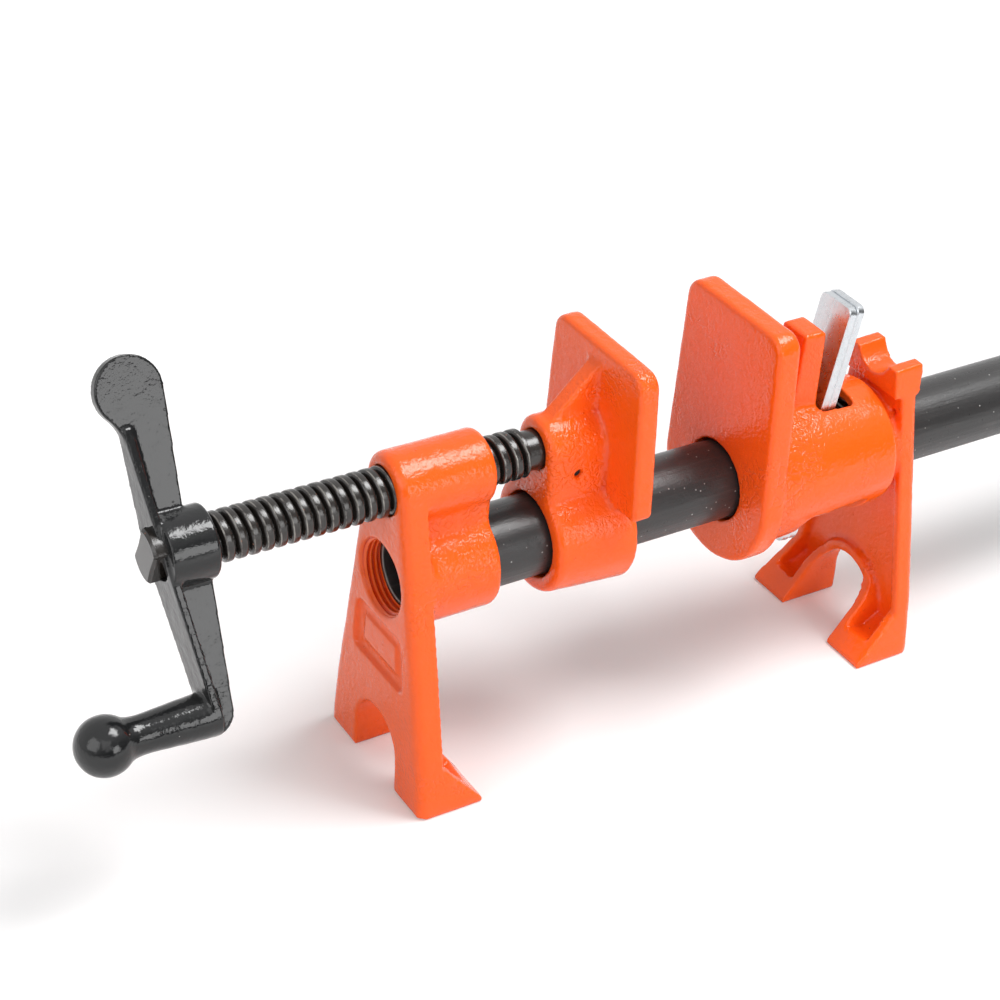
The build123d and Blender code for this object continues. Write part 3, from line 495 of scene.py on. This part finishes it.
def spring_coil(s):
    """The clutch spring's round wire. Its middle runs on the helix (x, r cos a, r sin a), one turn
    for each share length / turns of x, and each point has a circle round it in the plane of the
    radial and the cross direction. The wire is half as thick at its two ends, which close."""
    low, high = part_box("clutch_spring")
    wire = s.spring_wire / 2
    coil_r = (high.z - low.z) / 2 - wire
    middle_z = (high.z + low.z) / 2
    t = np.linspace(0, 1, TURN_ROWS * s.spring_turns + 1)
    a = 2 * pi * s.spring_turns * t
    run = high.x - low.x - 2 * wire
    rise = run / (2 * pi * s.spring_turns * coil_r)
    out = np.stack([np.zeros_like(a), np.cos(a), np.sin(a)], axis=1)
    middle = coil_r * out + (low.x + wire, 0, middle_z)
    middle[:, 0] += run * t
    along = np.stack([np.full_like(a, rise), -np.sin(a), np.cos(a)], axis=1)
    cross = np.cross(along / (1 + rise**2) ** 0.5, out)
    around = np.linspace(0, 2 * pi, WIRE_SIDES, endpoint=False)[:, None]
    radius = np.full((len(t), 1, 1), wire)
    radius[[0, -1]] = wire * 0.5
    circle = out[:, None] * np.cos(around) + cross[:, None] * np.sin(around)
    grid = middle[:, None] + radius * circle
    quads = np.roll(ring_quads(*grid.shape[:2]), -1, axis=1)    # split along their other diagonal
    return closed_tube("spring_coil", grid, middle[[0, -1]], quads)


# ---- Materials --------------------------------------------------------------------------------
class Value:
    """A socket's value; Python's operators on it add Math nodes."""

    def __init__(self, graph, socket):
        self.graph, self.socket = graph, socket

    def math(self, operation, *others):
        """A Math node on this value and the others."""
        return self.graph.node("ShaderNodeMath", (self, *others), operation=operation)

    def __add__(self, other):
        return self.math("ADD", other)

    def __sub__(self, other):
        return self.math("SUBTRACT", other)

    def __mul__(self, other):
        return self.math("MULTIPLY", other)

    def __rsub__(self, other):
        return self.graph.node("ShaderNodeMath", (other, self), operation="SUBTRACT")

    __radd__ = __add__
    __rmul__ = __mul__

    def step(self, low, high, start=0.0, end=1.0):
        """start below low, end above high, smooth between; low may be above high."""
        return self.graph.node("ShaderNodeMapRange", (self, low, high, start, end),
                               interpolation_type="SMOOTHSTEP")


class Graph:
    """A node tree whose nodes come from the node method."""

    def __init__(self, tree):
        self.tree = tree

    def feed(self, socket, value):
        """Links a value to a socket, or sets a plain number, vector or colour on it."""
        if isinstance(value, Value):
            self.tree.links.new(value.socket, socket)
        else:
            socket.default_value = value

    def node(self, kind, inputs=(), output=0, **settings):
        """Adds a node: its settings first, then the values or links of its inputs."""
        made = self.tree.nodes.new(kind)
        for label, value in settings.items():
            setattr(made, label, value)
        pairs = inputs.items() if isinstance(inputs, dict) else enumerate(inputs)
        for key, value in pairs:
            self.feed(made.inputs[key], value)
        return Value(self, made.outputs[output])

    def ray(self, kind):
        """1 for rays of one kind, such as Camera or Glossy."""
        return self.node("ShaderNodeLightPath", output=f"Is {kind} Ray")


class Finish(Graph):
    """A material with one Principled shader. Its patterns are laid out in millimetres."""

    def __init__(self, name, **constants):
        self.material = bpy.data.materials.new(name)
        self.material.use_nodes = True
        super().__init__(self.material.node_tree)
        self.shader = self.tree.nodes["Principled BSDF"]
        self.drive(**constants)
        place = self.node("ShaderNodeTexCoord", output="Object")
        self.place = self.node("ShaderNodeVectorMath", {0: place, "Scale": 1 / MM},
                               operation="SCALE")

    def drive(self, **values):
        """Feeds values or constants to the shader's sockets, such as base_color or ior."""
        for label, value in values.items():
            title = label.replace("_", " ").title().replace("Ior", "IOR")
            self.feed(self.shader.inputs[title], value)
        return self.material

    def noise(self, size, detail=2.0, rough=0.5, stretch=None):
        """Noise of 0 to 1 with features of about that size in millimetres."""
        place = self.place
        if stretch:
            place = self.node("ShaderNodeVectorMath", (place, stretch), operation="MULTIPLY")
        return self.node("ShaderNodeTexNoise", {"Vector": place, "Scale": 1 / size,
                                                "Detail": detail, "Roughness": rough})

    def specks(self, size, share_of_cells, radius):
        """1 in small round specks: near the middle of a share of a Voronoi pattern's cells."""
        cells = {"Vector": self.place, "Scale": 1 / size}
        distance = self.node("ShaderNodeTexVoronoi", cells, output="Distance")
        tone = self.node("ShaderNodeTexVoronoi", cells, output="Color")
        chance = self.node("ShaderNodeSeparateColor", (tone,))
        chosen = chance.step(share_of_cells, share_of_cells * 0.6)
        return distance.step(radius, radius * 0.4) * chosen

    def mix(self, factor, first, second):
        """A colour between two colours."""
        first, second = (c if isinstance(c, Value) else (*c, 1.0) for c in (first, second))
        return self.node("ShaderNodeMix", {0: factor, 6: first, 7: second}, output=2,
                         data_type="RGBA")

    def marked(self, name):
        """The number that a mesh keeps for each point under a name."""
        return self.node("ShaderNodeAttribute", output="Fac", attribute_name=name)

    def bump(self, height, distance, strength=0.9, under=None):
        """A Bump node's normal; height is in units of distance, in metres."""
        inputs = {"Height": height, "Distance": distance, "Strength": strength}
        if under:
            inputs["Normal"] = under
        return self.node("ShaderNodeBump", inputs)


def scaled(tone, *factors):
    """A colour times one factor, or times one for each of its channels."""
    factors = factors if len(factors) == 3 else factors * 3
    return tuple(c * k for c, k in zip(tone, factors))


def enamel(name, thin, thick, gloss, roughness, peel_height, swell_height, wormed, speck):
    """Glossy enamel on a sand casting: orange peel, worm-like dimples where it is wormed, sparse droplets and
    dust. It turns towards the thick colour where the mark hollow is high: partly enamel lying thick in hollows,
    partly painted shade there."""
    f = Finish(name, ior=1.5, specular_ior_level=gloss)
    peel = f.noise(1.3, 2.0, 0.62)
    swell = f.noise(4.2, 3.0, 0.55)
    cloud = f.noise(26.0, 3.0)
    worm = (f.noise(2.6, 1.0) - 0.5).math("ABSOLUTE").step(0.10, 0.0)
    worm = worm * cloud.step(0.52, 0.66) * wormed
    drops = f.specks(3.2, 0.10, 0.16)
    dust = f.specks(2.9, 0.022, 0.080)
    # Darker where the mark hollow is high, partly thick enamel and partly painted shade in the hollows; cloud and
    # swell add random tone.
    depth = f.marked("hollow").step(0.0, 0.9) * 0.7 + cloud * 0.2 + swell * 0.1
    tone = f.mix(depth.step(0.10, 0.95), thin, thick)
    tone = f.mix(dust * 0.85, tone, speck)
    fine = f.bump(peel + drops - worm, peel_height, 1.0)
    return f.drive(
        base_color=tone,
        roughness=roughness + swell * 0.05 + cloud * 0.04 + dust * 0.4,
        normal=f.bump(swell, swell_height, 0.8, fine),
    )


def lacquered_pipe(p):
    """Black pipe lacquer: mill scale, a weld seam, rubbed streaks along the pipe and dust."""
    f = Finish("pipe_lacquer", ior=1.5)
    streak = f.noise(1.3, 3.0, 0.6, stretch=(0.04, 1.0, 1.0))
    scale = f.noise(2.0, 4.0, 0.62)
    grain = f.noise(0.5, 2.0, 0.6)
    cloud = f.noise(22.0, 3.0, stretch=(0.35, 1.0, 1.0))
    dust = f.specks(1.9, 0.20, 0.19)
    rust = f.specks(4.1, 0.05, 0.16)
    bare, seam = f.marked("bare"), f.marked("seam")
    rub = streak.step(0.56, 0.74) * cloud.step(0.40, 0.66)
    tone = f.mix(cloud, p.pipe, scaled(p.pipe, 1.7))
    tone = f.mix(rub * 0.45, tone, (0.14, 0.133, 0.126))
    tone = f.mix(rust * 0.6, tone, (0.10, 0.035, 0.012))
    tone = f.mix(dust * (0.3 + cloud), tone, (0.44, 0.43, 0.41))
    tone = f.mix(bare * 0.85, tone, p.steel)
    return f.drive(
        base_color=tone,
        metallic=bare * 0.9 + rub * 0.15,
        roughness=0.20 + scale * 0.14 + grain * 0.08 + dust * 0.3,
        normal=f.bump(scale * 0.6 + streak * 0.8 + grain * 0.2 + seam * 0.8, 0.14 * MM),
    )


def oxide_screw(p):
    """Oiled black oxide, rubbed bright beside the crests, with specks of rust."""
    f = Finish("screw_oxide", ior=1.55)
    crest = f.marked("crest")
    grain = f.noise(0.5, 3.0, 0.6)
    patch = f.noise(5.0, 3.0, 0.6)
    worn = crest.step(0.35, 1.0) * (patch + grain * 0.5).step(0.58, 0.88)
    rust = f.specks(1.9, 0.09, 0.17)
    tone = f.mix(patch, p.oxide, scaled(p.oxide, 1.9, 1.6, 1.4))
    tone = f.mix(worn * 0.7, tone, p.steel)
    tone = f.mix(rust * 0.8, tone, (0.20, 0.05, 0.012))
    return f.drive(
        base_color=tone,
        metallic=worn * 0.8,
        roughness=0.10 + grain * 0.18 + rust * 0.3,
        normal=f.bump(grain * 0.6 + patch * 0.5, 0.08 * MM),
    )


def plated(name, tone_low, tone_high, roughness):
    """Plated or bare steel: fine rolling lines, soft clouding and small stains."""
    f = Finish(name)
    lines = f.noise(0.4, 2.0, stretch=(1.0, 1.0, 0.05))
    cloud = f.noise(2.2, 4.0, 0.65)
    stain = f.specks(2.4, 0.04, 0.10)
    tone = f.mix(cloud, tone_low, tone_high)
    tone = f.mix(stain * 0.5, tone, scaled(tone_low, 0.35))
    return f.drive(
        base_color=tone,
        metallic=1 - stain * 0.4,
        roughness=roughness + cloud * 0.20 + lines * 0.10,
        normal=f.bump(lines * 0.4 + cloud, 0.07 * MM),
    )


def dress(piece, body, material):
    """Puts a new piece on its body with its slot and material."""
    piece.data.materials.clear()
    piece.data.materials.append(material)
    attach(piece, body)


def recoat(node, material):
    """Gives a CAD node that stays its finished material."""
    shown = frame["nodes"][node]
    if not shown.material_slots:
        shown.data.materials.append(material)
    for place in shown.material_slots:
        place.material = material


# ---- Operators --------------------------------------------------------------------------------
class PieceOperator:
    """What the operators share: they can be undone and read the scene's settings."""

    bl_options = {"REGISTER", "UNDO"}

    @property
    def sizes(self):
        return bpy.context.scene.clamp_sizes

    @property
    def finishes(self):
        return bpy.context.scene.clamp_finishes


class CLAMP_OT_castings(PieceOperator, bpy.types.Operator):
    """Grow the orange castings of the head, the sliding jaw and the tail stop"""

    bl_idname = "clamp.castings"
    bl_label = "Orange Castings"

    def execute(self, context):
        s, p = self.sizes, self.finishes
        # The darker orange that the hollows turn towards is partly painted shade.
        paint = enamel(
            "orange_enamel", p.orange, p.orange_deep_and_shade, gloss=0.34, roughness=0.04,
            peel_height=0.24 * MM, swell_height=0.24 * MM, wormed=0.8, speck=(0.03, 0.02, 0.018),
        )
        plate_low, plate_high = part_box("clutch_plate_front")
        margin = Vector((SLOT_MARGIN,) * 3)
        slot_low = np.array(plate_low - margin)
        slot_high = np.array(plate_high + Vector((SLOT_BEHIND, SLOT_MARGIN, SLOT_MARGIN)))
        # node, piece, body, bores, and which points keep crisp corners
        castings = (
            ("clamp_head", "head_casting", "head",
             ((SCREW_Z, SCREW_BORE, *END_TO_END), (PIPE_Z, MOUTH_BORE, *END_TO_END),
              (PIPE_Z, PIPE_SEAT, PIPE_LOW.x + 0.2 * MM, 1.0)),
             lambda points: points[:, 0] < HEAD_LOW.x + PANEL_ZONE),
            ("sliding_jaw", "jaw_casting", "jaw",
             ((PIPE_Z, JAW_BORE, *END_TO_END),
              (SCREW_Z, NECK_BORE, -1.0, SCREW_HIGH.x - 0.4 * MM)),
             None),
            ("tail_stop", "tail_casting", "tail",
             ((PIPE_Z, TAIL_BORE, *END_TO_END),),
             lambda points: ((points > slot_low) & (points < slot_high)).all(axis=1)),
        )
        for number, (node, name, body, bores, crisp) in enumerate(castings):
            piece = cast_piece(node, name, s.cast_voxel, s.cast_fill, s.cast_wave,
                               10 * number + 1, bores, crisp)
            dress(piece, body, paint)
        return {"FINISHED"}


class CLAMP_OT_crank(PieceOperator, bpy.types.Operator):
    """Grow the black crank casting with its grip"""

    bl_idname = "clamp.crank"
    bl_label = "Crank"

    def execute(self, context):
        s, p = self.sizes, self.finishes
        piece = cast_piece("crank", "crank_casting", s.crank_voxel, s.cast_fill,
                           s.cast_wave * 0.6, seed=71)
        # The hollow colour, 0.35 of the black, is partly painted shade in the crank's hollows and partly thick
        # enamel.
        paint = enamel(
            "black_enamel", p.black, scaled(p.black, 0.35), gloss=0.45, roughness=0.06,
            peel_height=0.085 * MM, swell_height=0.12 * MM, wormed=0.0, speck=(0.30, 0.29, 0.27),
        )
        dress(piece, "screw", paint)
        return {"FINISHED"}


class CLAMP_OT_screw(PieceOperator, bpy.types.Operator):
    """Turn the crank screw with its rolled thread, plain neck and flatted end"""

    bl_idname = "clamp.screw"
    bl_label = "Threaded Screw"

    def execute(self, context):
        piece = threaded_screw(self.sizes)
        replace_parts(piece, "main_screw")
        dress(piece, "screw", oxide_screw(self.finishes))
        return {"FINISHED"}


class CLAMP_OT_pipe(PieceOperator, bpy.types.Operator):
    """Draw the iron pipe with its tapered thread at both ends, and the tapped mouth of the head"""

    bl_idname = "clamp.pipe"
    bl_label = "Pipe and Tapped Mouth"

    def execute(self, context):
        pipe = threaded_pipe(self.sizes)
        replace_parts(pipe, "pipe")
        dress(pipe, "head", lacquered_pipe(self.finishes))
        mouth = tapped_mouth(self.sizes)
        dress(mouth, "head", bpy.data.materials["orange_enamel"])
        return {"FINISHED"}


class CLAMP_OT_spring(PieceOperator, bpy.types.Operator):
    """Wind the clutch spring from round wire"""

    bl_idname = "clamp.spring"
    bl_label = "Clutch Spring"

    def execute(self, context):
        coil = spring_coil(self.sizes)
        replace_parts(coil, "clutch_spring")
        steel = plated("spring_wire", (0.10, 0.098, 0.094), (0.20, 0.195, 0.188), 0.28)
        dress(coil, "tail", steel)
        return {"FINISHED"}


class CLAMP_OT_plates(PieceOperator, bpy.types.Operator):
    """Finish the clutch plates and the retaining pin"""

    bl_idname = "clamp.plates"
    bl_label = "Clutch Plates and Pin"

    def execute(self, context):
        p = self.finishes
        zinc = plated("zinc_plate", scaled(p.zinc, 0.66), p.zinc, 0.14)
        dark = plated("dark_pin", (0.03, 0.028, 0.026), (0.05, 0.046, 0.042), 0.42)
        recoat("clutch_plate_front", zinc)
        recoat("clutch_plate_rear", zinc)
        recoat("retaining_pin", dark)
        return {"FINISHED"}


class CLAMP_OT_stage(PieceOperator, bpy.types.Operator):
    """Set the camera, the white floor and the soft lamps"""

    bl_idname = "clamp.stage"
    bl_label = "Stage"

    def execute(self, context):
        scene = context.scene
        scene.view_settings.view_transform = "Standard"
        self.camera(scene)
        self.floor()
        self.world(scene)
        for lamp in LAMPS:
            self.lamp(*lamp)
        return {"FINISHED"}

    def camera(self, scene):
        """The photograph's view: azimuth, elevation and roll of the line of sight."""
        level = cos(ELEVATION)
        back = Vector((sin(AZIMUTH) * level, -cos(AZIMUTH) * level, sin(ELEVATION)))
        right = (-back).cross(Vector((0, 0, 1))).normalized()
        down = (-back).cross(right)
        across = cos(ROLL) * right + sin(ROLL) * down
        up = sin(ROLL) * right - cos(ROLL) * down
        data = bpy.data.cameras.new("camera")
        data.sensor_width = SENSOR
        data.lens = LENS_PIXELS * SENSOR / FRAME_PIXELS
        camera = put("camera", data)
        turned = Matrix((across, up, back)).transposed().to_4x4()
        camera.matrix_world = Matrix.Translation(CAMERA_PLACE) @ turned
        scene.camera = camera

    def floor(self):
        """A paper floor that shows white, less the object's shadow: its glow, which only rays that show it pick
        up, rises away from the clamp, so the floor round the clamp is darker as painted shade."""
        corners = np.array([(-1, -1, 0), (1, -1, 0), (1, 1, 0), (-1, 1, 0)]) * FLOOR_REACH
        floor = mesh_from("floor", corners + [0, 0, FLOOR_Z], [[0, 1, 2, 3]])
        material = bpy.data.materials.new("floor_paper")
        material.use_nodes = True
        graph = Graph(material.node_tree)
        graph.tree.nodes.remove(graph.tree.nodes["Principled BSDF"])
        place = graph.node("ShaderNodeTexCoord", output="Object")
        away = graph.node("ShaderNodeVectorMath", (place, SHADE_RAMP_MIDDLE), output="Value",
                          operation="DISTANCE")
        seen = graph.ray("Camera")
        for kind in ("Glossy", "Transmission"):
            seen = seen.math("MAXIMUM", graph.ray(kind))
        # The glow is 0.10 near the clamp and 0.50 far off: painted shade on the floor round the clamp.
        glow = graph.node("ShaderNodeEmission",
                          {"Strength": seen * away.step(0.18, 0.55, 0.10, 0.50)})
        paper = graph.node("ShaderNodeBsdfDiffuse", {"Color": (*self.finishes.floor, 1)})
        both = graph.node("ShaderNodeAddShader", (paper, glow))
        graph.feed(graph.tree.nodes["Material Output"].inputs["Surface"], both)
        floor.data.materials.append(material)

    def world(self, scene):
        """White where it is seen, also in gloss, but darker in gloss from the camera's low side;
        softer as light on the object."""
        world = bpy.data.worlds.new("studio")
        world.use_nodes = True
        scene.world = world
        graph = Graph(world.node_tree)
        shade = graph.tree.nodes["Background"]
        graph.feed(shade.inputs["Color"], (1, 1, 1, 1))
        way = graph.node("ShaderNodeTexCoord", output="Generated")
        lean = graph.node("ShaderNodeVectorMath", (way, BRIGHT_SIDE), output="Value",
                          operation="DOT_PRODUCT")
        in_gloss = lean.step(-0.50, 0.45, 0.05, 1.0)
        level = WORLD_LEVEL
        for kind, strength in (("Glossy", in_gloss), ("Transmission", 1.0), ("Camera", 1.0)):
            level = graph.node("ShaderNodeMix", {0: graph.ray(kind), 2: level, 3: strength},
                               data_type="FLOAT")
        graph.feed(shade.inputs["Strength"], level)

    def lamp(self, name, place, aim, size, power):
        """A square soft lamp at a place, turned towards its aim."""
        data = bpy.data.lights.new(name, "AREA")
        data.size = size
        data.energy = power
        lamp = put(name, data)
        lamp.location = place
        lamp.rotation_euler = (Vector(aim) - Vector(place)).to_track_quat("-Z", "Y").to_euler()


class CLAMP_PT_panel(bpy.types.Panel):
    """The sizes, the colours and a button for each group of pieces."""

    bl_idname = "CLAMP_PT_panel"
    bl_label = "Pipe Clamp"
    bl_space_type = "VIEW_3D"
    bl_region_type = "UI"
    bl_category = "Pipe Clamp"

    def draw(self, context):
        for group in (context.scene.clamp_sizes, context.scene.clamp_finishes):
            column = self.layout.column()
            for name in group.__annotations__:
                column.prop(group, name)
        for operator in OPERATORS:
            self.layout.operator(operator.bl_idname)


OPERATORS = (CLAMP_OT_stage, CLAMP_OT_castings, CLAMP_OT_crank, CLAMP_OT_screw, CLAMP_OT_pipe,
             CLAMP_OT_spring, CLAMP_OT_plates)
CLASSES = (ClampSizes, ClampFinishes, *OPERATORS, CLAMP_PT_panel)


def register():
    """Adds the classes to Blender, and the settings to its scenes."""
    for cls in CLASSES:
        bpy.utils.register_class(cls)
    bpy.types.Scene.clamp_sizes = PointerProperty(type=ClampSizes)
    bpy.types.Scene.clamp_finishes = PointerProperty(type=ClampFinishes)


def unregister():
    """Takes away what register added."""
    del bpy.types.Scene.clamp_finishes
    del bpy.types.Scene.clamp_sizes
    for cls in reversed(CLASSES):
        bpy.utils.unregister_class(cls)


def main():
    """Builds every piece."""
    register()
    bpy.ops.clamp.stage()
    bpy.ops.clamp.castings()
    bpy.ops.clamp.crank()
    bpy.ops.clamp.screw()
    bpy.ops.clamp.pipe()
    bpy.ops.clamp.spring()
    bpy.ops.clamp.plates()


if __name__ == "__main__":
    main()
